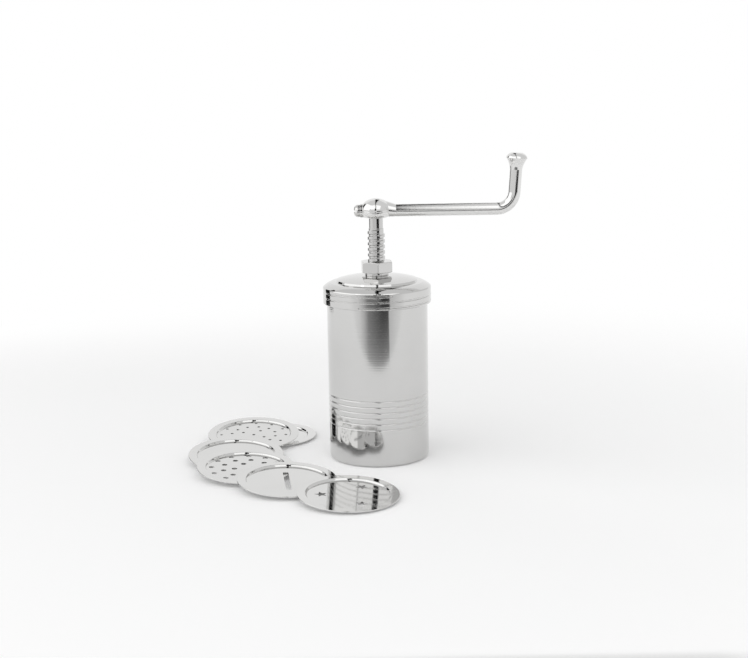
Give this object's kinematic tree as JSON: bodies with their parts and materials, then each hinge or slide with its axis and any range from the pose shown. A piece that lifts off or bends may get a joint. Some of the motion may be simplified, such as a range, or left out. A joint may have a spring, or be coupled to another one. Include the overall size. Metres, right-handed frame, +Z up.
{
  "type": "hand cranked food press",
  "caption": "Upright cylinder press with a screw lid, a cranked spindle that drives a plunger, and a fan of loose die discs beside it.",
  "frame": {"origin": "centre of the outlet in the barrel's bottom face, on the barrel's axis", "axes": "+Z up along the spindle, +X along the crank's arm at rest, -Y towards the viewer of the picture"},
  "size_m": [0.1972, 0.1811, 0.1752],
  "materials": {
    "barrel_steel": "bright drawn stainless sheet, near mirror, with fine turned lines low down",
    "lid_steel": "polished spun stainless sheet with a rolled thread",
    "bush_steel": "bright machined hexagon",
    "plated_steel": "bright plated fastener",
    "spindle_steel": "machined coarse screw, bright crests",
    "crank_alloy": "polished casting",
    "plunger_steel": "pressed stainless sheet, satin",
    "bearing_brass": "plain brass washer",
    "disc_steel": "pressed stainless disc, bright with a fine circular grain"
  },
  "bodies": {
    "barrel": {"barrel": "barrel_steel"},
    "lid_washer": {"bush_washer": "plated_steel"},
    "lid": {"lid": "lid_steel", "hex_bush": "bush_steel", "bush_locknut": "plated_steel"},
    "plunger": {"plunger_cup": "plunger_steel", "thrust_washer": "bearing_brass"},
    "spindle": {"spindle": "spindle_steel", "crank": "crank_alloy", "crank_screw": "plated_steel", "plunger_washer": "plated_steel", "plunger_nut": "plated_steel"},
    "stick_disc": {"stick_disc": "disc_steel"},
    "small_hole_disc": {"small_hole_disc": "disc_steel"},
    "ribbon_disc": {"ribbon_disc": "disc_steel"},
    "large_hole_disc": {"large_hole_disc": "disc_steel"},
    "slot_disc": {"slot_disc": "disc_steel"},
    "star_disc": {"star_disc": "disc_steel"}
  },
  "joints": [
    {"name": "lid_lift", "type": "slide", "parent": "barrel", "child": "lid_washer", "axis": [0, 0, 1], "range_m": [0, 0.0064]},
    {"name": "lid_turn", "type": "hinge", "parent": "lid_washer", "child": "lid", "pos_m": [0, 0, 0.095], "axis": [0, 0, 1], "range_deg": [0, 720]},
    {"name": "plunger_slide", "type": "slide", "parent": "lid", "child": "plunger", "axis": [0, 0, 1], "range_m": [-0.024, 0.054]},
    {"name": "spindle_turn", "type": "hinge", "parent": "plunger", "child": "spindle", "pos_m": [0, 0, 0.0361], "axis": [0, 0, 1], "range_deg": [-2700, 6075]},
    {"name": "stick_disc_lift", "type": "slide", "parent": "barrel", "child": "stick_disc", "axis": [0, 0, 1], "range_m": [0, 0.06]},
    {"name": "small_hole_disc_lift", "type": "slide", "parent": "stick_disc", "child": "small_hole_disc", "axis": [0, 0, 1], "range_m": [0, 0.06]},
    {"name": "ribbon_disc_lift", "type": "slide", "parent": "small_hole_disc", "child": "ribbon_disc", "axis": [0, 0, 1], "range_m": [0, 0.06]},
    {"name": "large_hole_disc_lift", "type": "slide", "parent": "ribbon_disc", "child": "large_hole_disc", "axis": [0, 0, 1], "range_m": [0, 0.06]},
    {"name": "slot_disc_lift", "type": "slide", "parent": "large_hole_disc", "child": "slot_disc", "axis": [0, 0, 1], "range_m": [0, 0.06]},
    {"name": "star_disc_lift", "type": "slide", "parent": "slot_disc", "child": "star_disc", "axis": [0, 0, 1], "range_m": [0, 0.06]}
  ],
  "couplings": [
    {"joint": "lid_lift", "follows": "lid_turn", "m_per_rad": 0.0005093},
    {"joint": "plunger_slide", "follows": "spindle_turn", "m_per_rad": 0.0005093}
  ]
}
